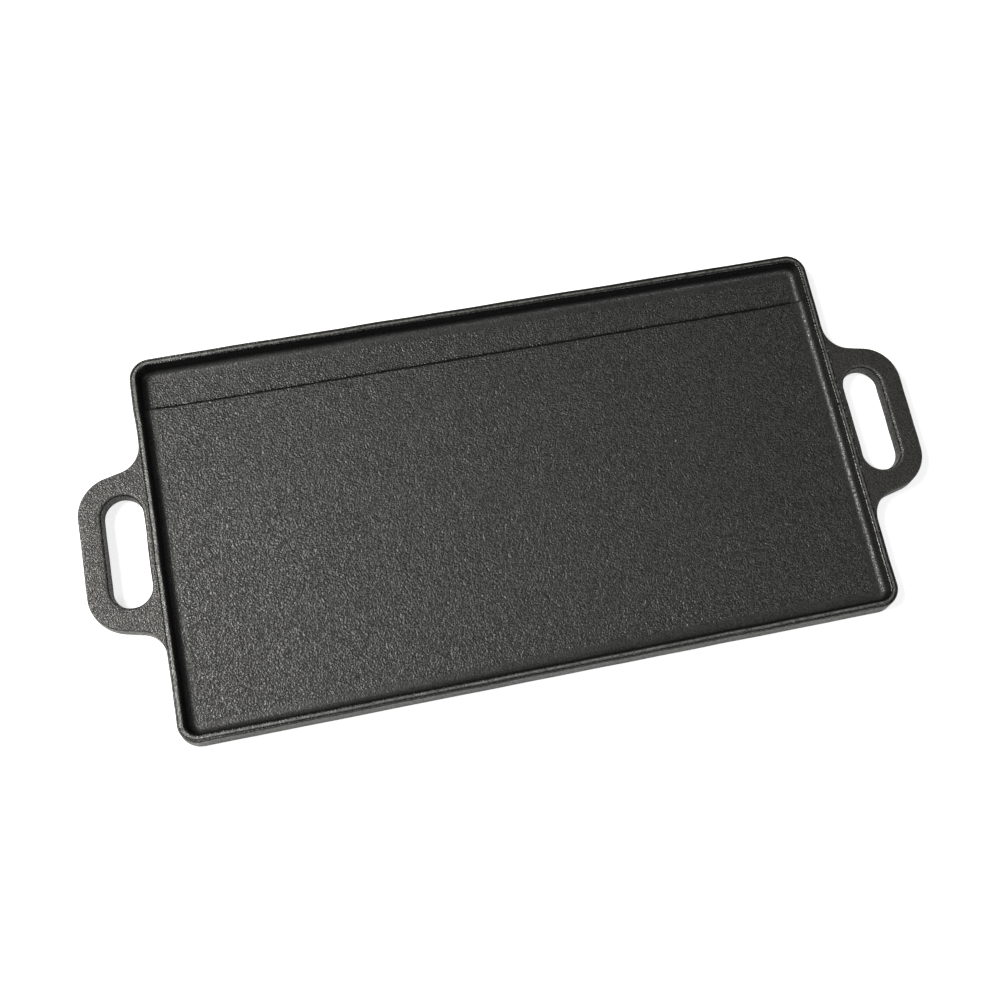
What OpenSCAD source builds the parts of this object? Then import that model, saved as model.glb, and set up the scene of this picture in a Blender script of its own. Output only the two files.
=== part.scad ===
// Camp griddle plate: one iron casting, drawn as eight regions that meet face to face.
// X runs along the plate, Y from the front rim to the grease trough, Z up from the underside.

/* [Plate] */
// Length of the plate over its side rims, without the handles
plate_length = 427; // [380:1:470]
// Width of the plate over its front and back rims
plate_width = 232; // [216:1:270]
// Height from the flat underside to the top of the rim
plate_height = 13.5; // [12.5:0.5:18]
// Outer corner radius of the plate, seen from above
corner_radius = 12; // [11:0.25:20]
// Thickness of the cooking floor
floor_thickness = 5.5; // [4.5:0.25:7]
// Draft of the outer walls, which lean out towards the underside
outer_draft = 6; // [2:0.5:8]
// Rounding of the bottom edge
foot_round = 1.5; // [0.8:0.1:2]

/* [Rim] */
// Width of the rim at its top, between the outer and the inner wall
rim_width = 4.4; // [3.8:0.1:5.4]
// Rounding of the outer top edge of the rim and of the handles
rim_outer_round = 1.2; // [0.8:0.1:1.6]
// Rounding of the inner top edge of the rim
rim_inner_round = 1.2; // [0.8:0.1:1.6]
// Draft of the inner wall, which leans out towards the top
inner_draft = 8; // [3:1:14]
// Fillet between the inner wall and the floor, smaller where a tight corner leaves it less room
floor_fillet = 4; // [2:0.25:6]
// Least flat floor in a corner, past the fillet
rim_land = 0.4; // [0.3:0.1:1]

/* [Grease trough] */
// Drop from the cooking surface to the trough floor
trough_depth = 1.7; // [1:0.1:2.4]
// Distance from the back face of the plate to the step of the trough
trough_width = 30; // [24:0.5:40]
// Rounding of the step's upper edge
step_round = 0.9; // [0.4:0.1:0.9]

/* [Handles] */
// How far a handle stands out from the side of the plate
handle_reach = 39.8; // [38:0.2:48]
// Length of a handle along the plate, where its arms reach the plate
handle_base = 101.6; // [98:0.2:106]
// Lean of each arm, so that the handle narrows towards the grip
arm_lean = 12.8; // [8:0.2:14]
// Thickness of a handle, down from its flat top
handle_thickness = 10; // [8:0.5:11]
// Outer corner radius between arm and grip
handle_corner = 22.9; // [20:0.1:24]
// Radius of the hollow shoulder between arm and plate
shoulder_radius = 15.8; // [10:0.2:18]
// Rounding of the handle's lower edges
handle_lower_round = 2; // [1:0.1:3]

/* [Finger slot] */
// Width of the grip, from the slot's waist to the handle's outer face
grip_width = 12.9; // [11:0.1:15]
// Length of the slot at its waist
slot_length = 67.5; // [60:0.5:70]
// Web of iron left between the slot and the rim, at the top
slot_web = 2.5; // [2:0.1:3]
// Rounding of the slot's upper mouth
slot_round = 2; // [1:0.1:2.2]
// Draft of the slot's walls, which close in towards the underside
slot_draft = 5; // [0:0.5:6]

/* [Hidden] */
$fn = 96;
iron = [0.16, 0.16, 0.165];
worn_iron = [0.20, 0.20, 0.20];

half_l = plate_length / 2;
half_w = plate_width / 2;
top = plate_height;
trough_z = floor_thickness - trough_depth;
wall_lean = -outer_draft;
// A fillet of radius 1 in the angle between the inner wall and a floor runs this far over the floor.
run_per_radius = tan((90 - inner_draft) / 2);
corner_room = corner_radius - rim_land - rim_width - (top - trough_z) * tan(inner_draft);
fillet = min(floor_fillet, corner_room / run_per_radius);
fillet_run = fillet * run_per_radius;
step_y = half_w - trough_width;
corner_x = half_l - corner_radius;
corner_y = half_w - corner_radius;

handle_z = top - handle_thickness;
// Centres of the handle's corner arc and of its shoulder arc, u out from the plate and v along it.
corner_u = handle_reach - handle_corner;
corner_v = handle_base / 2 - (handle_corner + corner_u * sin(arm_lean)) / cos(arm_lean);
shoulder_u = shoulder_radius;
shoulder_v = handle_base / 2 + shoulder_radius * (1 - sin(arm_lean)) / cos(arm_lean);
// The slot's width at its waist is what the web and the grip leave.
slot_width = handle_reach - slot_web - grip_width;
slot_u = slot_web + slot_width / 2;
slot_v = (slot_length - slot_width) / 2;
round_steps = 5;
fillet_steps = 8;
// How far cutting shapes pass the faces they cut, and how far a handle's lower edge leans out.
past = top / 16;
flare = handle_thickness * tan(outer_draft);

// Where the centre of a rounding lies beside a wall that leans by the angle a.
function upper_e(r, a) = r / cos(a) + r * tan(a);
function lower_e(r, a, h) = (h - r) * tan(a) + r / cos(a);
function arc(e, z, r, from, to, steps) = [
    for (i = [0:steps])
        let (a = from + (to - from) * i / steps)
            [e + r * cos(a), z + r * sin(a)]
];

// A rounded edge and its drafted wall, from the top down: e runs into the iron, h is the height.
function edge_points(h, upper, lower, a) = concat(
    arc(upper_e(upper, a), h - upper, upper, 90, 180 + a, round_steps),
    arc(lower_e(lower, a, h), lower, lower, 180 + a, 270, round_steps)
);

// Section of the rim, n runs in from the outer face as far as the corner's centre. Its floor lies at fz.
module rim_section(fz) {
    a = inner_draft;
    toe = rim_width + (top - fz) * tan(a);
    r = rim_inner_round;
    crest = rim_width - r * (1 - sin(a)) / cos(a);
    polygon(concat(
        edge_points(top, rim_outer_round, foot_round, wall_lean),
        [[corner_radius, 0], [corner_radius, fz]],
        arc(toe + fillet_run, fz + fillet, fillet, 270, 180 + a, fillet_steps),
        arc(crest, top - r, r, a, 90, round_steps)
    ));
}

// Sweeps for straight runs, which go along +Y from the origin with the section's n along -X.
module run_along(length) {
    rotate([0, 0, 180]) rotate([90, 0, 0]) linear_extrude(length) children();
}

// A rim corner: the section turned a quarter about the centre of the corner.
module turn_corner(radius) {
    rotate_extrude(angle = 90) translate([radius, 0]) mirror([1, 0]) children();
}

// Floor slab from y0 to y1, as wide as the rims leave it.
module floor_slab(y0, y1, height) {
    translate([-corner_x, y0, 0]) cube([2 * corner_x, y1 - y0, height]);
}

module cooking_plate() {
    color(iron) difference() {
        floor_slab(-corner_y, step_y, floor_thickness);
        translate([half_l, step_y, 0]) rotate([0, -90, 0]) linear_extrude(2 * half_l) difference() {
            translate([floor_thickness - step_round, -step_round]) square(step_round + past);
            translate([floor_thickness - step_round, -step_round]) circle(step_round);
        }
    }
}

module grease_trough() {
    color(iron) floor_slab(step_y, corner_y, trough_z);
}

// Front or back rim with its two corners, on a floor at fz. The back one's legs reach the step.
module end_rim(fz) {
    translate([corner_x, half_w, 0]) rotate([0, 0, 90]) run_along(2 * corner_x) rim_section(fz);
    translate([corner_x, corner_y, 0]) turn_corner(corner_radius) rim_section(fz);
    mirror([1, 0, 0]) translate([corner_x, corner_y, 0]) turn_corner(corner_radius) rim_section(fz);
}

module front_rim() {
    color(worn_iron) mirror([0, 1, 0]) end_rim(floor_thickness);
}

module back_rim() {
    color(worn_iron) {
        end_rim(trough_z);
        for (s = [0, 1]) mirror([s, 0, 0]) translate([half_l, step_y, 0])
            run_along(corner_y - step_y) rim_section(trough_z);
    }
}

module side_rim() {
    difference() {
        union() {
            translate([half_l, -corner_y, 0]) run_along(corner_y + step_y) rim_section(floor_thickness);
            handle_seat();
        }
        shoulder_edges() upper_waste();
    }
}

// Where the handle is joined, the rim keeps its full outer top edge.
module handle_seat() {
    r = upper_e(rim_outer_round, wall_lean);
    translate([half_l, -shoulder_v, 0]) run_along(2 * shoulder_v)
        polygon([[0, top], [rim_outer_round * 2 * tan(wall_lean), top - 2 * rim_outer_round], [r, top]]);
}

module left_rim() {
    color(worn_iron) mirror([1, 0, 0]) side_rim();
}

module right_rim() {
    color(worn_iron) side_rim();
}

// What is cut away outside the handle's rounded edge.
module edge_waste() {
    h = handle_thickness;
    polygon(concat(
        [[-flare - past, -past], [-flare - past, h + past], [upper_e(rim_outer_round, wall_lean), h + past]],
        edge_points(h, rim_outer_round, handle_lower_round, wall_lean),
        [[lower_e(handle_lower_round, wall_lean, h), -past]]
    ));
}

// The upper half of the same, which is cut from the rim as well.
module upper_waste() {
    h = handle_thickness;
    e = upper_e(rim_outer_round, wall_lean);
    polygon(concat(
        [[-flare - past, h / 2], [-flare - past, h + past], [e, h + past]],
        arc(e, h - rim_outer_round, rim_outer_round, 90, 180 + wall_lean, round_steps),
        [[h / 2 * tan(wall_lean), h / 2]]
    ));
}

// Hollow shoulders between arm and rim, a degree past the arm's start.
module shoulder_edges() {
    for (s = [0, 1]) mirror([0, s, 0])
        translate([half_l + shoulder_u, shoulder_v, handle_z]) rotate([0, 0, 180])
            rotate_extrude(angle = 91 - arm_lean) translate([shoulder_radius, 0]) children();
}

module arm_and_grip_edges() {
    arm = [corner_u + handle_corner * sin(arm_lean), corner_v + handle_corner * cos(arm_lean)];
    translate([half_l + handle_reach, -corner_v, handle_z]) run_along(2 * corner_v) edge_waste();
    for (s = [0, 1]) mirror([0, s, 0]) {
        translate([half_l + corner_u, corner_v, handle_z])
            rotate_extrude(angle = 90 - arm_lean) translate([handle_corner, 0]) mirror([1, 0])
                edge_waste();
        translate([half_l + arm[0], arm[1], handle_z]) rotate([0, 0, 90 - arm_lean])
            run_along(arm_run()) edge_waste();
    }
}

// Length of the straight part of an arm.
function arm_run() = norm([
    corner_u + handle_corner * sin(arm_lean) - (shoulder_u - shoulder_radius * sin(arm_lean)),
    corner_v + handle_corner * cos(arm_lean) - (shoulder_v - shoulder_radius * cos(arm_lean))
]);

// Rough blank of the handle seen from above, with u out from the plate. Its edges are all cut away.
module handle_blank() {
    spare = flare + past / 2;
    half = concat(
        [[-rim_width, shoulder_v]],
        arc(shoulder_u, shoulder_v, shoulder_radius - spare, 180, 270 - arm_lean, fillet_steps),
        arc(corner_u, corner_v, handle_corner + spare, 90 - arm_lean, 0, fillet_steps)
    );
    polygon(concat(half, [for (i = [len(half) - 1:-1:0]) [half[i][0], -half[i][1]]]));
}

// Half section of the plug that leaves the finger slot, with its rounded mouths.
module slot_half() {
    w = slot_width / 2;
    h = handle_thickness;
    mouth = upper_e(slot_round, -slot_draft);
    polygon(concat(
        [[0, -past], [0, h + past], [w + mouth, h + past]],
        [for (p = edge_points(h, slot_round, handle_lower_round, -slot_draft)) [w + p[0], p[1]]],
        [[w + lower_e(handle_lower_round, -slot_draft, h), -past]]
    ));
}

module finger_slot() {
    translate([half_l + slot_u, 0, handle_z]) {
        for (s = [0, 1]) mirror([0, s, 0]) translate([0, slot_v, 0])
            rotate_extrude(angle = 180) slot_half();
        for (s = [0, 1]) mirror([s, 0, 0]) translate([0, slot_v, 0])
            rotate([90, 0, 0]) linear_extrude(2 * slot_v) slot_half();
    }
}

// The rim's leaning outer face, which the handle is cast onto.
module rim_face_waste() {
    foot = -top * tan(wall_lean);
    translate([half_l, shoulder_v + past, 0]) rotate([90, 0, 0]) linear_extrude(2 * (shoulder_v + past))
        polygon([[foot, 0], [past * tan(wall_lean), top + past], [-handle_corner, top + past],
            [-handle_corner, 0]]);
}

module handle() {
    difference() {
        translate([half_l, 0, handle_z]) linear_extrude(handle_thickness) handle_blank();
        rim_face_waste();
        shoulder_edges() edge_waste();
        arm_and_grip_edges();
        finger_slot();
    }
}

module left_handle() {
    color(iron) mirror([1, 0, 0]) handle();
}

module right_handle() {
    color(iron) handle();
}

cooking_plate();
grease_trough();
front_rim();
back_rim();
left_rim();
right_rim();
left_handle();
right_handle();
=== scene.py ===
import math

import bpy
import bmesh
import numpy as np
from mathutils import Matrix, Vector
from mathutils.geometry import delaunay_2d_cdt


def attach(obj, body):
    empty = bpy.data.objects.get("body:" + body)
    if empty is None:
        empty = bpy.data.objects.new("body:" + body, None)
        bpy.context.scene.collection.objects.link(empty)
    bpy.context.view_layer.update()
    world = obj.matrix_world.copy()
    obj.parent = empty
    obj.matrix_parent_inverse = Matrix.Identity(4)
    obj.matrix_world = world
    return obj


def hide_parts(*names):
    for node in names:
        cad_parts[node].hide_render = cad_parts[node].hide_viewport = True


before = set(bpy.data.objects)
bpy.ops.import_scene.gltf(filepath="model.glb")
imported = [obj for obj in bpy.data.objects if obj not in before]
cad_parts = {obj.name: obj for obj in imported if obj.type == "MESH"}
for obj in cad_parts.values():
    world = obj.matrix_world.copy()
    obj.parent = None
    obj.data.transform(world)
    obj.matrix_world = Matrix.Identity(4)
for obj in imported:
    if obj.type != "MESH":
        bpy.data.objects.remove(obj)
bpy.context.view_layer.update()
print("frame loaded:", sorted(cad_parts))

mm = 0.001
rad = math.radians
mergeDistance = 2e-6       # metres
creaseAngle = rad(40)      # steeper edges are shaded sharp

# Shape of the casting, in millimetres, with the origin under its middle.
plate = {
    "halfLength": 213.5,
    "halfWidth": 116.0,
    "height": 13.5,
    "corner": 12.0,
    "floor": 5.5,
    "wallDraft": rad(-6.0),    # outer walls lean out towards the underside
    "footRound": 1.5,
    "cornerSteps": 30,
    "waviness": 0.10,      # how far the cast faces wander
    "waveLength": 46.0,
    "waveFade": 3.0,       # height over which the wander grows from the flat underside
}
rim = {
    "width": 4.4,
    "outerRound": 1.2,
    "innerRound": 1.2,
    "innerDraft": rad(8.0),
    "fillet": 4.0,
    "roundSteps": 7,
    "filletSteps": 12,
    "beadAt": 2.5,         # crown of the rim's bead, in from the outer face
    "beadWidth": 0.6,
    "beadRise": 0.18,      # how far the bead stands over the shallow line outside it
    "lineAt": 1.2,
    "lineWidth": 0.42,
    "crestDepth": 0.8,     # depth below the crest that the bead and the line reach
    # painted shade on the rim's inner walls
    "wallPaintedShade": 0.95,
}
trough = {
    "depth": 1.7,
    "width": 30.0,
    "slope": 2.1,          # run of the step, from the cooking surface down to the trough
    "hook": 1.3,           # how far the step's ends turn towards the back rim
    "hookLength": 20.0,
    "lead": 0.35,          # share of the step that lies in front of its middle line
    # painted shade along the step's crease
    "paintedShade": 1.0,
    "paintedShadeAt": 0.75,        # darkest place, as a share of the way down
    "paintedShadeWidth": 0.7,
    "paintedShadeFade": 6.0,       # length over which the dark line dies out at its ends
}
handle = {
    "reach": 39.8,
    "base": 101.6,
    "lean": rad(12.8),
    "thickness": 10.0,
    "corner": 22.9,
    "shoulder": 15.8,
    "lowerRound": 2.0,
    "grip": 12.9,
    "web": 2.5,
    "slotLength": 67.5,
    "slotRound": 2.0,
    "slotDraft": rad(-5.0),
    "skinGrid": 2.6,       # spacing of the points inside the flat faces
    "skinWear": 0.12,
    # painted highlights on the top edge and the slot's mouth, painted shade down the sides and in the
    # slot
    "edgeHighlight": (1.5, 1.3, 0.7),    # place, spread and strength, in steps down the edge's profile
    "edgePaintedShade": 0.35,
    "slotHighlight": (1.6, 1.2, 0.9),
    "slotPaintedShade": 0.9,
    "footPaintedShade": 0.3,
}


def smooth(t):
    t = np.clip(t, 0.0, 1.0)
    return t * t * (3.0 - 2.0 * t)


troughFloor = plate["floor"] - trough["depth"]
filletRun = rim["fillet"] * math.tan((math.pi / 2 - rim["innerDraft"]) / 2)
rimReach = plate["corner"]
stepY = plate["halfWidth"] - trough["width"]
cornerX = plate["halfLength"] - plate["corner"]
cornerY = plate["halfWidth"] - plate["corner"]
lean = handle["lean"]
cornerU = handle["reach"] - handle["corner"]
cornerV = handle["base"] / 2 - (handle["corner"] + cornerU * math.sin(lean)) / math.cos(lean)
shoulderU = handle["shoulder"]
shoulderV = handle["base"] / 2 + handle["shoulder"] * (1 - math.sin(lean)) / math.cos(lean)
slotWidth = handle["reach"] - handle["web"] - handle["grip"]
slotU = handle["web"] + slotWidth / 2
slotV = (handle["slotLength"] - slotWidth) / 2


def stepPhase(x, y):
    # Runs from 0 to 1 down the step.
    hookStart = plate["halfLength"] - rim["width"] - trough["hookLength"]
    side = np.clip((np.abs(x) - hookStart) / trough["hookLength"], 0, 1)
    return (y - stepY - trough["hook"] * side ** 2) / trough["slope"] + trough["lead"]


def floorHeight(x, y):
    # Height of the cooking face, which drops into the trough past the step.
    return plate["floor"] - trough["depth"] * smooth(stepPhase(x, y))


def stepPaintedShade(x, y):
    # Painted shade along the step's crease, kept as values below zero.
    fade = np.clip((rimReach + cornerX - np.abs(x)) / trough["paintedShadeFade"] - 1.0, 0, 1)
    past = (stepPhase(x, y) - trough["paintedShadeAt"]) / trough["paintedShadeWidth"]
    return -trough["paintedShade"] * np.exp(-past ** 2) * fade


waveSeed = np.random.default_rng(11)
waves = [(waveSeed.normal(size=3) * 2 * math.pi / plate["waveLength"] * k,
          waveSeed.uniform(0, 6.28, 3), waveSeed.normal(size=(3,)) / k)
         for k in (0.6, 0.9, 1.3, 1.9, 2.7) for _ in range(3)]


def wander(points):
    # The same slow wander at every point of space, so neighbouring pieces still meet.
    out = np.zeros_like(points)
    for freq, phase, size in waves:
        arg = points @ freq
        out += np.stack([np.sin(arg + phase[i]) * size[i] for i in range(3)], axis=1)
    fade = np.clip(points[:, 2:3] / plate["waveFade"], 0, 1)
    out *= plate["waviness"] / 2.2 * np.array([1.0, 1.0, 0.8]) * fade
    return points + out


def arcPoints(e, z, r, start, end, steps):
    return [(e + r * math.cos(a), z + r * math.sin(a)) for a in np.linspace(start, end, steps + 1)]


def upperCentre(r, a):
    return r / math.cos(a) + r * math.tan(a)


def lowerCentre(r, a, h):
    return (h - r) * math.tan(a) + r / math.cos(a)


def edgeProfile(h, upper, lower, a, steps, wallSteps=3):
    # Rounded edge and drafted wall from the top down, e runs into the iron.
    top = arcPoints(upperCentre(upper, a), h - upper, upper, math.pi / 2, math.pi + a, steps)
    low = arcPoints(lowerCentre(lower, a, h), lower, lower, math.pi + a, 1.5 * math.pi, steps)
    p, q = np.array(top[-1]), np.array(low[0])
    wall = [tuple(p + (q - p) * i / wallSteps) for i in range(1, wallSteps)]
    return top + wall + low, len(top)


def bell(n, at, width):
    return math.exp(-((n - at) / width) ** 2)


def beadHighlightAndShade(n):
    # Above zero a painted highlight along the bead's crown, below zero painted shade in the line outside
    # it and over the rim's inner part.
    past = min(max((n - rim["beadAt"] - 0.5) / 0.5, 0.0), 1.0)
    paintedLightAndWear = bell(n, rim["beadAt"], rim["beadWidth"]) * (1 - past)
    return paintedLightAndWear - 1.1 * bell(n, rim["lineAt"], rim["lineWidth"]) - past


def beadDrop(n):
    # How far the crest lies below the bead's crown.
    line = bell(n, rim["lineAt"], rim["lineWidth"])
    crown = 0.35 * min(abs(n - rim["beadAt"]) / 1.2, 1) ** 2 * (n > rim["lineAt"])
    return rim["beadRise"] * (line + crown)


def rimSection(fz, joinAt=None):
    # Closed section of the rim: (n, z, signed value for rubbing and painted light). fz is the floor's
    # height, and joinAt the place along a side that may have a handle.
    h, a = plate["height"], rim["innerDraft"]
    edge, topCount = edgeProfile(h, rim["outerRound"], plate["footRound"], plate["wallDraft"],
                                 rim["roundSteps"])
    edge = [list(p) + [0.0] for p in edge]
    # Painted highlight and shade of the bead over the outer rounding, which is also painted a little
    # lighter towards its side.
    for i in range(topCount):
        edge[i][2] = beadHighlightAndShade(edge[i][0]) + 0.15 * i / (topCount - 1)
    if joinAt is not None and abs(joinAt) < shoulderV:
        tanWall = math.tan(plate["wallDraft"])
        first, last = edge[0][0], edge[topCount - 1][0]
        seatZ = seatHeight(0.0, joinAt)
        seatN = (h - seatZ) * tanWall
        for i in range(topCount):
            n = seatN + (edge[i][0] - last) / (first - last) * (first - seatN)
            edge[i] = [n, seatHeight(n, joinAt), beadHighlightAndShade(n)]
    toe = rim["width"] + (h - fz) * math.tan(a)
    r = rim["innerRound"]
    crest = rim["width"] - r * (1 - math.sin(a)) / math.cos(a)
    inner = arcPoints(crest, h - r, r, math.pi / 2, a, rim["roundSteps"])
    inner = [[n, z, beadHighlightAndShade(n)] for n, z in inner]
    bowl = arcPoints(toe + filletRun, fz + rim["fillet"], rim["fillet"], math.pi + a, 1.5 * math.pi,
                     rim["filletSteps"])
    # Painted shade down the rim's inner wall, fading out over the top of the fillet.
    p, q = inner[-1], bowl[0]
    wall = [[p[0] + (q[0] - p[0]) * t, p[1] + (q[1] - p[1]) * t, -rim["wallPaintedShade"]]
            for t in (0.33, 0.66)]
    section = [[rimReach, 0.0, 0.0], [(rimReach + edge[-1][0]) / 2, 0.0, 0.0]]
    section += edge[::-1]
    section += [[n, h, beadHighlightAndShade(n)] for n in np.linspace(edge[0][0], crest, 12)[1:-1]]
    section += inner
    for point in section:
        if point[1] > h - rim["crestDepth"]:
            point[1] -= beadDrop(point[0])
    section += wall
    section += [[n, z, -rim["wallPaintedShade"] * max(1 - 2.2 * i / rim["filletSteps"], 0)]
                for i, (n, z) in enumerate(bowl)]
    section += [[rimReach, fz, 0.0]]
    return section


def seatHeight(n, v):
    # Top of the rim beside a handle, where the hollow shoulder's rounded edge runs across it.
    h, r = plate["height"], rim["outerRound"]
    e = math.hypot(handle["shoulder"] + n, shoulderV - abs(v)) - handle["shoulder"]
    short = upperCentre(r, plate["wallDraft"]) - e
    if short <= 0:
        return h
    return h - r + math.sqrt(max(r * r - short * short, 0.0)) if short < r else h - r


def meshPiece(name, verts, faces, wearAndLight):
    pts = wander(np.array(verts, dtype=float)) * mm
    mesh = bpy.data.meshes.new(name)
    mesh.from_pydata([tuple(p) for p in pts], [], faces)
    paintedLightAndWear = mesh.attributes.new("wearAndLight", "FLOAT", "POINT")
    paintedLightAndWear.data.foreach_set("value", np.array(wearAndLight, dtype=float))
    piece = bpy.data.objects.new(name, mesh)
    bpy.context.collection.objects.link(piece)
    bm = bmesh.new()
    bm.from_mesh(mesh)
    bmesh.ops.remove_doubles(bm, verts=bm.verts, dist=mergeDistance)
    bmesh.ops.dissolve_degenerate(bm, edges=bm.edges, dist=mergeDistance / 2)
    bmesh.ops.recalc_face_normals(bm, faces=bm.faces)
    openEdges = sum(1 for e in bm.edges if len(e.link_faces) != 2)
    bm.to_mesh(mesh)
    bm.free()
    for p in mesh.polygons:
        p.use_smooth = True
    mesh.set_sharp_from_angle(angle=creaseAngle)
    print("made", name, len(mesh.vertices), "points, open edges", openEdges)
    return piece


def sweepPiece(name, stations):
    # Each station is the outer face's place, the direction inward and the section there.
    verts, wearAndLight, faces = [], [], []
    count = len(stations[0][2])
    for (x, y), (dx, dy), section in stations:
        for n, z, w in section:
            verts.append((x + dx * n, y + dy * n, z))
            wearAndLight.append(w)
    for s in range(len(stations) - 1):
        for i in range(count):
            j = (i + 1) % count
            faces.append((s * count + i, s * count + j, (s + 1) * count + j, (s + 1) * count + i))
    faces.append(tuple(range(count)))
    faces.append(tuple((len(stations) - 1) * count + i for i in reversed(range(count))))
    return meshPiece(name, verts, faces, wearAndLight)


def cornerStations(cx, cy, start, end, fz):
    r = plate["corner"]
    return [((cx + r * math.cos(a), cy + r * math.sin(a)), (-math.cos(a), -math.sin(a)), rimSection(fz))
            for a in np.linspace(start, end, plate["cornerSteps"] + 1)]


def straightStations(y, sign, fz, step=5.0):
    xs = np.linspace(-cornerX, cornerX, int(2 * cornerX / step))
    return [((x, y), (0, -sign), rimSection(fz)) for x in xs[1:-1]]


def sideStations(side, ys, joined):
    # The floor's height changes along the side, so each section gets its own.
    out = []
    for y in ys:
        x = side * plate["halfLength"]
        fz = float(floorHeight(np.array(x - side * rimReach), np.array(y)))
        out.append(((x, y), (-side, 0), rimSection(fz, y if joined else None)))
    return out


def buildRims():
    a, b = cornerX, cornerY
    low, high = plate["floor"], troughFloor
    front = cornerStations(-a, -b, math.pi, 1.5 * math.pi, low)
    front += straightStations(-plate["halfWidth"], -1, low)
    front += cornerStations(a, -b, 1.5 * math.pi, 2 * math.pi, low)
    legYs = np.concatenate([np.linspace(stepY, stepY + 5, 26), np.linspace(stepY + 6, cornerY, 6)])
    back = sideStations(1, legYs[:-1], False) + cornerStations(a, b, 0, math.pi / 2, high)
    back += straightStations(plate["halfWidth"], 1, high)[::-1]
    back += cornerStations(-a, b, math.pi / 2, math.pi, high)
    back += sideStations(-1, legYs[:-1][::-1], False)
    # Closer sections at the shoulders and at the trough's step.
    sideYs = np.concatenate([
        np.linspace(-cornerY, -shoulderV - 4, 9),
        np.linspace(-shoulderV - 1, -shoulderV + 9, 36),
        np.linspace(-shoulderV + 12, shoulderV - 12, 34),
        np.linspace(shoulderV - 9, shoulderV + 1, 36),
        np.linspace(shoulderV + 3, stepY - 5, 6),
        np.linspace(stepY - 4.6, stepY, 24),
    ])
    return {
        "front_rim": sweepPiece("frontRim", front),
        "back_rim": sweepPiece("backRim", back),
        "left_rim": sweepPiece("leftRim", sideStations(-1, sideYs, True)),
        "right_rim": sweepPiece("rightRim", sideStations(1, sideYs, True)),
    }


def floorPiece(name, rows, columns=90):
    # A slab whose rows run along x. Each row is (y, half length), and its top follows floorHeight.
    verts, faces, wearAndLight = [], [], []
    spread = np.linspace(-1, 1, columns + 1)
    spread = np.sign(spread) * (1 - (1 - np.abs(spread)) ** 1.25)
    for bottom in (False, True):
        for y, half in rows:
            xs = spread * half
            zs = np.zeros_like(xs) if bottom else floorHeight(xs, np.full_like(xs, y))
            verts += [(x, y, z) for x, z in zip(xs, zs)]
            wearAndLight += list(stepPaintedShade(xs, np.full_like(xs, y)))
    w, n = columns + 1, len(rows)
    low = n * w
    for r in range(n - 1):
        for c in range(columns):
            i = r * w + c
            faces.append((i, i + 1, i + w + 1, i + w))
            faces.append((low + i, low + i + w, low + i + w + 1, low + i + 1))
    for c in range(columns):
        faces.append((c, low + c, low + c + 1, c + 1))
        i = (n - 1) * w + c
        faces.append((i, i + 1, low + i + 1, low + i))
    for r in range(n - 1):
        i = r * w
        faces.append((i, i + w, low + i + w, low + i))
        i += columns
        faces.append((i, low + i, low + i + w, i + w))
    return meshPiece(name, verts, faces, wearAndLight)


def buildFloors():
    cookYs = np.concatenate([np.linspace(-cornerY, stepY - 5, 50), np.linspace(stepY - 4.6, stepY, 24)])
    troughYs = np.concatenate([np.linspace(stepY, stepY + 5, 26), np.linspace(stepY + 6, cornerY, 5)])
    return {"cooking_plate": floorPiece("cookingPlate", [(y, cornerX) for y in cookYs]),
            "grease_trough": floorPiece("greaseTrough", [(y, cornerX) for y in troughYs])}


def handleChain():
    # Free edge of the handle from one shoulder's tip to the other: place and outward direction.
    pts = []
    hollow, corner = handle["shoulder"], handle["corner"]
    s, c = math.sin(lean), math.cos(lean)
    for a in np.linspace(0, math.pi / 2 - lean, 34):
        u, v = shoulderU - hollow * math.cos(a), -(shoulderV - hollow * math.sin(a))
        pts.append(((u, v), (math.cos(a), -math.sin(a))))
    start = np.array(pts[-1][0])
    end = np.array((cornerU + corner * s, -(cornerV + corner * c)))
    pts += [(tuple(start + (end - start) * t), (s, -c)) for t in (0.25, 0.5, 0.75)]
    for a in np.linspace(math.pi / 2 - lean, 0, 34):
        u, v = cornerU + corner * math.cos(a), -(cornerV + corner * math.sin(a))
        pts.append(((u, v), (math.cos(a), -math.sin(a))))
    pts += [((handle["reach"], v), (1, 0)) for v in np.linspace(-cornerV, 0, 10)[1:-1]]
    half = pts + [((handle["reach"], 0.0), (1, 0))]
    return half + [((u, -v), (du, -dv)) for (u, v), (du, dv) in pts[::-1]]


def slotLoop():
    r = slotWidth / 2
    pts = []
    for centre, start in ((slotV, 0.0), (-slotV, math.pi)):
        for a in np.linspace(start, start + math.pi, 49):
            c, s = math.cos(a), math.sin(a)
            pts.append(((slotU + r * c, centre + r * s), (c, s)))
        facing = math.cos(start + math.pi)
        x = slotU + r * facing
        pts += [((x, v), (facing, 0)) for v in np.linspace(centre, -centre, 16)[1:-1]]
    return pts


def insideLoop(loop, point):
    inside, (px, py) = False, point
    for (x0, y0), (x1, y1) in zip(loop, loop[1:] + loop[:1]):
        if (y0 > py) != (y1 > py) and px < (x1 - x0) * (py - y0) / (y1 - y0) + x0:
            inside = not inside
    return inside


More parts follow.
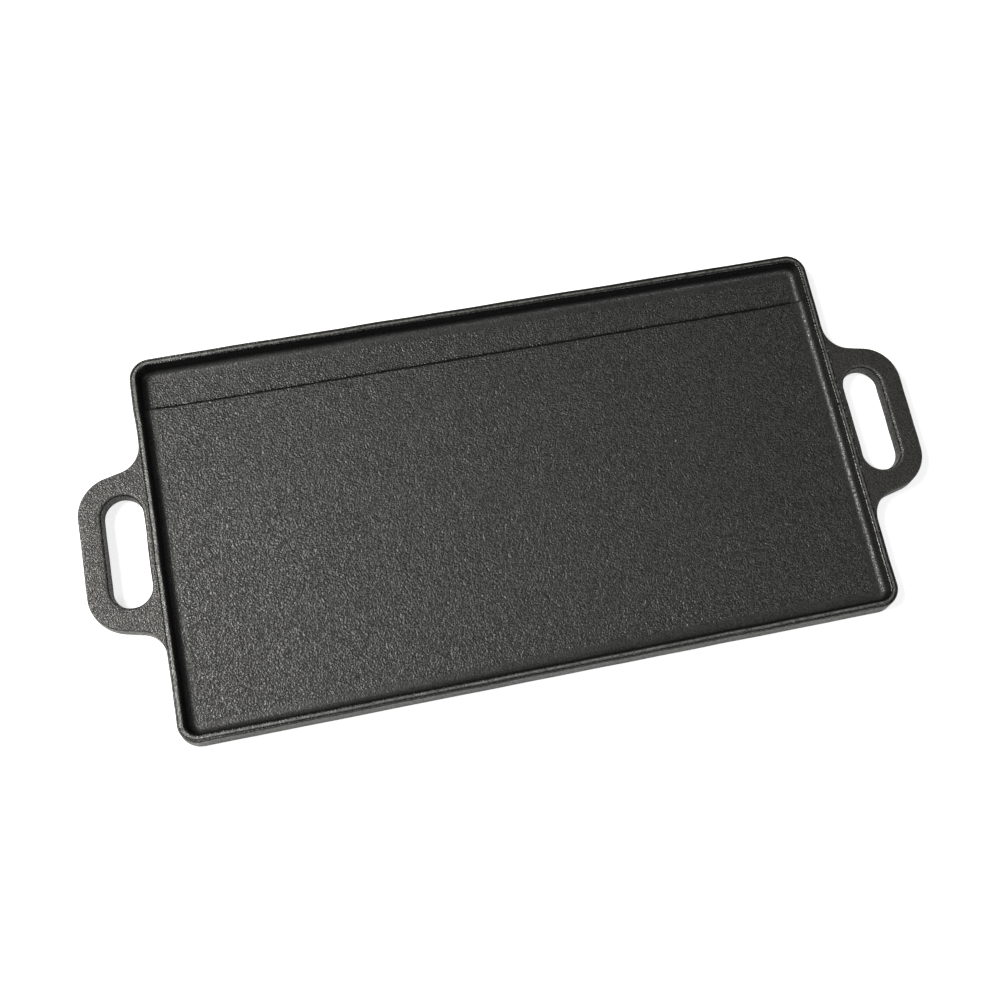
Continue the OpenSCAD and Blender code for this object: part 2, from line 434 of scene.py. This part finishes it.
def buildHandle(name, side):
    h, t = plate["height"], handle["thickness"]
    base = h - t
    tanWall = math.tan(plate["wallDraft"])
    outerEdge, outerTop = edgeProfile(t, rim["outerRound"], handle["lowerRound"], plate["wallDraft"],
                                      rim["roundSteps"])
    slotEdge, slotTop = edgeProfile(t, handle["slotRound"], handle["lowerRound"], handle["slotDraft"],
                                    rim["roundSteps"])
    verts, wearAndLight, faces = [], [], []

    def addPoint(u, v, z, w):
        verts.append((side * (plate["halfLength"] + u), v, z))
        wearAndLight.append(w)
        return len(verts) - 1

    def seat(z):
        # The rim's leaning face, which the handle ends on.
        return -(h - z) * tanWall

    def wearAndHighlight(i, setting):
        at, width, strength = setting
        return bell(i, at, width) * strength

    rows = []
    for (u, v), (du, dv) in handleChain():
        row = []
        line = [(u - e * du, v - e * dv, base + z) for e, z in outerEdge]
        cut = [p[0] - seat(p[2]) for p in line]
        for i, p in enumerate(line):
            # Where the edge would run into the rim it stops at that face.
            if cut[i] < -1e-9 and i < outerTop:
                k = next((j for j in range(i, len(line)) if cut[j] >= -1e-9), len(line) - 1)
                f = cut[k] / (cut[k] - cut[k - 1]) if k > 0 and cut[k] != cut[k - 1] else 0.0
                p = tuple(line[k][m] + (line[k - 1][m] - line[k][m]) * f for m in range(3))
            elif cut[i] < 0:
                p = (seat(p[2]), p[1], p[2])
            # Painted highlight on the upper rounding, painted shade from partway down it to the
            # underside.
            row.append(addPoint(*p, wearAndHighlight(i, handle["edgeHighlight"]) - (handle["edgePaintedShade"] if i > 4 else 0.0)))
        rows.append(row)
    for a, b in zip(rows, rows[1:]):
        for i in range(len(outerEdge) - 1):
            faces.append((a[i], a[i + 1], b[i + 1], b[i]))
    ring = []
    for (u, v), (du, dv) in slotLoop():
        row = []
        for i, (e, z) in enumerate(slotEdge):
            # Painted highlight at the slot's mouth, painted shade down its wall, lighter painted shade
            # below that.
            paintedShade = 0.0 if i <= 3 else handle["slotPaintedShade"] if i <= slotTop else handle["footPaintedShade"]
            row.append(addPoint(u + e * du, v + e * dv, base + z, wearAndHighlight(i, handle["slotHighlight"]) - paintedShade))
        ring.append(row)
    for a, b in zip(ring, ring[1:] + ring[:1]):
        for i in range(len(slotEdge) - 1):
            faces.append((a[i], b[i], b[i + 1], a[i + 1]))

    def skin(level, z, seatU):
        # Flat top or bottom face between the outer edge and the slot.
        outer = [verts[r[level]] for r in rows if abs(verts[r[level]][2] - z) < 1e-6]
        outer = [(side * p[0] - plate["halfLength"], p[1]) for p in outer]
        keep = [outer[0]]
        for p in outer[1:]:
            if math.dist(p, keep[-1]) > 1e-4:
                keep.append(p)
        seam = [(seatU, v) for v in np.linspace(keep[-1][1], keep[0][1], 42)]
        if abs(keep[-1][0] - seatU) < 1e-4:
            seam = seam[1:]
        if abs(keep[0][0] - seatU) < 1e-4:
            seam = seam[:-1]
        outline = keep + seam
        hole = [verts[r[level]] for r in ring]
        hole = [(side * p[0] - plate["halfLength"], p[1]) for p in hole]
        grid = []
        g = handle["skinGrid"]
        for u in np.arange(seatU + g / 2, handle["reach"], g):
            for v in np.arange(-shoulderV + g / 3, shoulderV, g):
                p = (float(u), float(v))
                if insideLoop(outline, p) and not insideLoop(hole, p):
                    if min(math.dist(p, q) for q in outline + hole) > g * 0.45:
                        grid.append(p)
        coords = outline + hole + grid
        n, m = len(outline), len(hole)
        edges = [(i, (i + 1) % n) for i in range(n)]
        edges += [(n + i, n + (i + 1) % m) for i in range(m)]
        out = delaunay_2d_cdt([Vector(c) for c in coords], edges, [], 0, 1e-7)
        index = [addPoint(c[0], c[1], z, handle["skinWear"]) for c in out[0]]
        for tri in out[2]:
            mid = (sum(out[0][i][0] for i in tri) / 3, sum(out[0][i][1] for i in tri) / 3)
            if insideLoop(outline, mid) and not insideLoop(hole, mid):
                faces.append(tuple(index[i] for i in tri))

    skin(0, h, 0.0)
    skin(-1, base, seat(base))
    piece = meshPiece(name, verts, faces, wearAndLight)
    bm = bmesh.new()
    bm.from_mesh(piece.data)
    # The face against the rim is the one hole left.
    openEdges = [e for e in bm.edges if len(e.link_faces) == 1]
    bmesh.ops.holes_fill(bm, edges=openEdges, sides=0)
    bmesh.ops.recalc_face_normals(bm, faces=bm.faces)
    left = sum(1 for e in bm.edges if len(e.link_faces) != 2)
    bm.to_mesh(piece.data)
    bm.free()
    piece.data.set_sharp_from_angle(angle=creaseAngle)
    print("closed", name, "open edges left", left)
    return piece


pieces = {}
pieces.update(buildFloors())
pieces.update(buildRims())
pieces["left_handle"] = buildHandle("leftHandle", -1)
pieces["right_handle"] = buildHandle("rightHandle", 1)
slots = {
    "cooking_plate": "cooking_iron",
    "grease_trough": "cooking_iron",
    "left_handle": "handle_iron",
    "right_handle": "handle_iron",
}


def socketGroup(name, inputs, outputs):
    group = bpy.data.node_groups.new(name, "ShaderNodeTree")
    for label, kind, value in inputs:
        socket = group.interface.new_socket(label, in_out="INPUT", socket_type="NodeSocket" + kind)
        if value is not None:
            socket.default_value = value
    for label, kind in outputs:
        group.interface.new_socket(label, in_out="OUTPUT", socket_type="NodeSocket" + kind)
    return group, group.nodes.new("NodeGroupInput"), group.nodes.new("NodeGroupOutput")


def node(tree, kind, **values):
    made = tree.nodes.new(kind)
    for key, value in values.items():
        if key in made.inputs:
            made.inputs[key].default_value = value
        else:
            setattr(made, key, value)
    return made


def mathNode(tree, operation, a, b=None, clamp=False):
    made = tree.nodes.new("ShaderNodeMath")
    made.operation = operation
    made.use_clamp = clamp
    for i, value in enumerate((a, b)):
        if value is None:
            continue
        if isinstance(value, (int, float)):
            made.inputs[i].default_value = value
        else:
            tree.links.new(value, made.inputs[i])
    return made.outputs[0]


def texture(tree, kind, vector, scale, **values):
    made = node(tree, kind, **values)
    tree.links.new(vector, made.inputs["Vector"])
    tree.links.new(scale, made.inputs["Scale"])
    return made


def colorMix(tree, factor, first, second):
    made = node(tree, "ShaderNodeMix", data_type="RGBA")
    for value, socket in ((factor, 0), (first, 6), (second, 7)):
        if isinstance(value, tuple):
            made.inputs[socket].default_value = value
        else:
            tree.links.new(value, made.inputs[socket])
    return made.outputs[2]


def sandGrainGroup():
    # Pebbled face left by the sand mould: fine grain, coarser pimples and shallow pits.
    group, given, out = socketGroup(
        "sandGrain",
        [("Vector", "Vector", None), ("Grain size", "Float", 1.0), ("Pimples", "Float", 0.5)],
        [("Height", "Float"), ("Pits", "Float"), ("Crowns", "Float")])
    place = given.outputs["Vector"]
    scale = mathNode(group, "DIVIDE", 1000.0, given.outputs["Grain size"])
    fine = texture(group, "ShaderNodeTexNoise", place, scale, Detail=0.7, Roughness=0.5)
    cells = texture(group, "ShaderNodeTexVoronoi", place, mathNode(group, "MULTIPLY", scale, 0.8),
                    feature="SMOOTH_F1", Smoothness=0.6, Randomness=1.0)
    broad = texture(group, "ShaderNodeTexNoise", place, mathNode(group, "MULTIPLY", scale, 0.14),
                    Detail=2.0, Roughness=0.5)
    pimple = mathNode(group, "SUBTRACT", 0.62, cells.outputs["Distance"])
    height = mathNode(group, "ADD", mathNode(group, "MULTIPLY", fine.outputs["Fac"], 0.75),
                      mathNode(group, "MULTIPLY", pimple, given.outputs["Pimples"]))
    height = mathNode(group, "ADD", height, mathNode(group, "MULTIPLY", broad.outputs["Fac"], 0.7))
    group.links.new(height, out.inputs["Height"])
    # Pits and crowns follow the fine grain's relief, for painted shade in the pits and painted highlight
    # on the crowns.
    pits = mathNode(group, "SUBTRACT", 0.46, fine.outputs["Fac"])
    group.links.new(mathNode(group, "MULTIPLY", pits, 6.0, clamp=True), out.inputs["Pits"])
    crowns = mathNode(group, "SUBTRACT", fine.outputs["Fac"], 0.42)
    group.links.new(mathNode(group, "MULTIPLY", crowns, 5.0, clamp=True), out.inputs["Crowns"])
    return group


def oilAndPaintedLightGroup():
    # Seasoned finish: slow patches in tone and gloss; grain crowns painted lighter and pits darker as
    # painted light on the grain; from the attribute, rubbing and painted highlights above zero, painted
    # shade below zero.
    group, given, out = socketGroup(
        "oilAndPaintedLight",
        [("Vector", "Vector", None), ("Patch size", "Float", 60.0),
         ("Dark", "Color", (0.01, 0.01, 0.01, 1)), ("Light", "Color", (0.03, 0.03, 0.03, 1)),
         ("Gloss low", "Float", 0.4), ("Gloss high", "Float", 0.6),
         ("Wear and light", "Float", 0.0), ("Worn and highlight", "Color", (0.1, 0.1, 0.1, 1)), ("Pits", "Float", 0.0),
         ("Crowns", "Float", 0.5), ("Contrast", "Float", 0.6)],
        [("Color", "Color"), ("Roughness", "Float")])
    place, wearAndLight, pits = (given.outputs[label] for label in ("Vector", "Wear and light", "Pits"))
    scale = mathNode(group, "DIVIDE", 1000.0, given.outputs["Patch size"])
    patch = texture(group, "ShaderNodeTexNoise", place, scale, Detail=5.0, Roughness=0.6)
    speck = texture(group, "ShaderNodeTexNoise", place, mathNode(group, "MULTIPLY", scale, 22.0),
                    Detail=2.0, Roughness=0.7)
    mask = mathNode(group, "ADD", mathNode(group, "MULTIPLY", patch.outputs["Fac"], 0.6),
                    mathNode(group, "MULTIPLY", speck.outputs["Fac"], 0.4))
    spread = node(group, "ShaderNodeMapRange")
    spread.inputs["From Min"].default_value = 0.35
    spread.inputs["From Max"].default_value = 0.65
    group.links.new(mask, spread.inputs["Value"])
    mixed = node(group, "ShaderNodeMix", data_type="FLOAT")
    group.links.new(given.outputs["Contrast"], mixed.inputs["Factor"])
    group.links.new(spread.outputs["Result"], mixed.inputs[2])
    group.links.new(given.outputs["Crowns"], mixed.inputs[3])
    paintedShade = mathNode(group, "MULTIPLY", wearAndLight, -1.0, clamp=True)
    flecks = mathNode(group, "SUBTRACT", speck.outputs["Fac"], 0.25)
    flecks = mathNode(group, "MULTIPLY", flecks, 2.2, clamp=True)
    wearAndHighlight = mathNode(group, "MULTIPLY", wearAndLight, flecks, clamp=True)
    # Tone from slow patches and, by Contrast, the grain's crowns painted lighter as painted highlight.
    color = colorMix(group, mixed.outputs[0], given.outputs["Dark"], given.outputs["Light"])
    color = colorMix(group, wearAndHighlight, color, given.outputs["Worn and highlight"])
    # Painted shade in the grain's pits and wherever the attribute is below zero.
    paintedShadeMask = mathNode(group, "MAXIMUM", mathNode(group, "MULTIPLY", pits, 0.6), paintedShade)
    color = colorMix(group, paintedShadeMask, color, paintedShadeColor)
    group.links.new(color, out.inputs["Color"])
    gloss = node(group, "ShaderNodeMapRange")
    group.links.new(mixed.outputs[0], gloss.inputs["Value"])
    group.links.new(given.outputs["Gloss high"], gloss.inputs["To Min"])
    group.links.new(given.outputs["Gloss low"], gloss.inputs["To Max"])
    rough = mathNode(group, "SUBTRACT", gloss.outputs["Result"], mathNode(group, "MULTIPLY", wearAndHighlight, 0.12))
    rough = mathNode(group, "SUBTRACT", rough, mathNode(group, "MULTIPLY", paintedShade, 0.14))
    rough = mathNode(group, "ADD", rough, mathNode(group, "MULTIPLY", pits, 0.15), clamp=True)
    group.links.new(rough, out.inputs["Roughness"])
    return group


# Colour of the painted shade.
paintedShadeColor = (0.002, 0.002, 0.0022, 1)
sandGrain = sandGrainGroup()
oilAndPaintedLight = oilAndPaintedLightGroup()

cookingFinish = {
    "name": "seasonedCookingFace",
    "dark": (0.0016, 0.0018, 0.0022, 1),
    "light": (0.0485, 0.0492, 0.0482, 1),
    "wornAndHighlight": (0.05, 0.05, 0.05, 1),
    "glossLow": 0.27,
    "glossHigh": 0.55,
    "grainSize": 0.85,
    "pimples": 0.6,
    "bump": 1.0,           # strength, at the height below in metres
    "bumpHeight": 0.0006,
    "contrast": 0.95,
    "patch": 70.0,
}
rimFinish = {
    "name": "seasonedRim",
    "dark": (0.0016, 0.0018, 0.0022, 1),
    "light": (0.0485, 0.0492, 0.0482, 1),
    # colour of the rim's painted highlights
    "wornAndHighlight": (0.21, 0.208, 0.2, 1),
    "glossLow": 0.27,
    "glossHigh": 0.55,
    "grainSize": 0.85,
    "pimples": 0.5,
    "bump": 1.0,
    "bumpHeight": 0.00028,
    "contrast": 0.6,
    "patch": 60.0,
}
handleFinish = {
    "name": "seasonedHandle",
    "dark": (0.0018, 0.0018, 0.002, 1),
    "light": (0.05, 0.0485, 0.0445, 1),
    "wornAndHighlight": (0.12, 0.118, 0.11, 1),
    "glossLow": 0.27,
    "glossHigh": 0.55,
    "grainSize": 0.85,
    "pimples": 0.5,
    "bump": 1.0,
    "bumpHeight": 0.0005,
    "contrast": 0.78,
    "patch": 45.0,
}


def ironMaterial(finish):
    made = bpy.data.materials.new(finish["name"])
    made.use_nodes = True
    tree = made.node_tree
    shader = tree.nodes["Principled BSDF"]
    shader.inputs["Specular IOR Level"].default_value = 0.6
    shader.inputs["Metallic"].default_value = 0.0
    place = node(tree, "ShaderNodeTexCoord")
    grain = node(tree, "ShaderNodeGroup", node_tree=sandGrain)
    grain.inputs["Grain size"].default_value = finish["grainSize"]
    grain.inputs["Pimples"].default_value = finish["pimples"]
    tree.links.new(place.outputs["Object"], grain.inputs["Vector"])
    wearAndLightMap = node(tree, "ShaderNodeAttribute", attribute_name="wearAndLight")
    oilAndLightNode = node(tree, "ShaderNodeGroup", node_tree=oilAndPaintedLight)
    tree.links.new(place.outputs["Object"], oilAndLightNode.inputs["Vector"])
    for key, label in (("dark", "Dark"), ("light", "Light"), ("wornAndHighlight", "Worn and highlight"), ("glossLow", "Gloss low"),
                       ("glossHigh", "Gloss high"), ("patch", "Patch size"), ("contrast", "Contrast")):
        oilAndLightNode.inputs[label].default_value = finish[key]
    tree.links.new(wearAndLightMap.outputs["Fac"], oilAndLightNode.inputs["Wear and light"])
    tree.links.new(grain.outputs["Pits"], oilAndLightNode.inputs["Pits"])
    tree.links.new(grain.outputs["Crowns"], oilAndLightNode.inputs["Crowns"])
    tree.links.new(oilAndLightNode.outputs["Color"], shader.inputs["Base Color"])
    tree.links.new(oilAndLightNode.outputs["Roughness"], shader.inputs["Roughness"])
    bump = node(tree, "ShaderNodeBump")
    bump.inputs["Strength"].default_value = finish["bump"]
    bump.inputs["Distance"].default_value = finish["bumpHeight"]
    tree.links.new(grain.outputs["Height"], bump.inputs["Height"])
    tree.links.new(bump.outputs["Normal"], shader.inputs["Normal"])
    return made


finishes = {
    "cooking_iron": ironMaterial(cookingFinish),
    "rim_iron": ironMaterial(rimFinish),
    "handle_iron": ironMaterial(handleFinish),
}
for nodeName, piece in pieces.items():
    slotName = slots.get(nodeName, "rim_iron")
    piece.data.materials.append(finishes[slotName])
    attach(piece, "root")
    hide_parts(nodeName)
print("pieces dressed:", len(pieces))

studio = {
    "floorSize": 8.0,
    "floorGap": 0.0004,
    "floorColor": (0.86, 0.86, 0.86, 1),
    "floorGlow": 0.72,
    "glossyGlow": 0.20,    # share of that glow which reflections see
    "worldLevel": 0.07,
    "keyPower": 35.0,
    "keyPlace": (-1.0, 0.2, 1.25),
    "keySize": 0.7,
    "keyColor": (1.0, 0.985, 0.94),
    "fillPower": 5.0,
    "fillPlace": (0.6, -0.95, 1.25),
    "fillSize": 0.5,
    "fillColor": (0.97, 0.985, 1.0),
}


def buildStudio():
    size = studio["floorSize"] / 2
    mesh = bpy.data.meshes.new("studioFloor")
    corners = [(-size, -size, 0), (size, -size, 0), (size, size, 0), (-size, size, 0)]
    mesh.from_pydata(corners, [], [(0, 1, 2, 3)])
    floor = bpy.data.objects.new("studioFloor", mesh)
    floor.location.z = -studio["floorGap"]
    bpy.context.collection.objects.link(floor)
    paper = bpy.data.materials.new("studioPaper")
    paper.use_nodes = True
    tree = paper.node_tree
    shader = tree.nodes["Principled BSDF"]
    shader.inputs["Base Color"].default_value = studio["floorColor"]
    shader.inputs["Roughness"].default_value = 0.9
    shader.inputs["Specular IOR Level"].default_value = 0.0
    rays = node(tree, "ShaderNodeLightPath")
    glossy = mathNode(tree, "MULTIPLY", rays.outputs["Is Glossy Ray"], studio["glossyGlow"])
    seen = mathNode(tree, "ADD", rays.outputs["Is Camera Ray"], glossy, clamp=True)
    seen = mathNode(tree, "ADD", seen, rays.outputs["Is Transmission Ray"], clamp=True)
    shader.inputs["Emission Color"].default_value = (1, 1, 1, 1)
    glow = mathNode(tree, "MULTIPLY", seen, studio["floorGlow"])
    tree.links.new(glow, shader.inputs["Emission Strength"])
    mesh.materials.append(paper)
    world = bpy.data.worlds.new("studioRoom")
    world.use_nodes = True
    bpy.context.scene.world = world
    tree = world.node_tree
    back = tree.nodes["Background"]
    rays = node(tree, "ShaderNodeLightPath")
    back.inputs["Color"].default_value = (1, 1, 1, 1)
    level = mathNode(tree, "MULTIPLY", rays.outputs["Is Camera Ray"], 1.0 - studio["worldLevel"])
    tree.links.new(mathNode(tree, "ADD", level, studio["worldLevel"]), back.inputs["Strength"])
    for name in ("key", "fill"):
        lamp = bpy.data.lights.new(name + "Softbox", "AREA")
        lamp.energy = studio[name + "Power"]
        lamp.size = studio[name + "Size"]
        lamp.color = studio[name + "Color"]
        holder = bpy.data.objects.new(name + "Softbox", lamp)
        place = Vector(studio[name + "Place"])
        holder.location = place
        holder.rotation_euler = (-place).to_track_quat("-Z", "Y").to_euler()
        bpy.context.collection.objects.link(holder)


# Camera, fitted to the outlines of the plate and its handles.
view = {
    "focal": 1237.78,                      # in pixels of a 1000 pixel wide picture
    "turn": (2.861, -0.278, 0.134),        # rotation vector, object to lens
    "shift": (7.429, -11.565, 740.296),    # rim plane seen from the lens, in mm
    "middle": 0.77,                        # added to y, from the fitted middle to the plate's
    "sensor": 36.0,
}


def buildCamera():
    turn = Vector(view["turn"])
    rot = Matrix.Rotation(turn.length, 3, turn.normalized())
    move = Vector(view["shift"])
    place = -(rot.transposed() @ move) + Vector((0, view["middle"], plate["height"]))
    flip = Matrix(((1, 0, 0), (0, -1, 0), (0, 0, -1)))
    aim = (flip @ rot).transposed()
    lens = bpy.data.cameras.new("camera")
    lens.sensor_width = view["sensor"]
    lens.lens = view["focal"] / 1000 * view["sensor"]
    lens.clip_start = 0.01
    camera = bpy.data.objects.new("camera", lens)
    camera.matrix_world = Matrix.Translation(place * mm) @ aim.to_4x4()
    bpy.context.collection.objects.link(camera)
    bpy.context.scene.camera = camera
    print("camera at", tuple(round(v, 1) for v in place))


buildStudio()
buildCamera()
bpy.context.scene.view_settings.view_transform = "Standard"
print("scene ready")
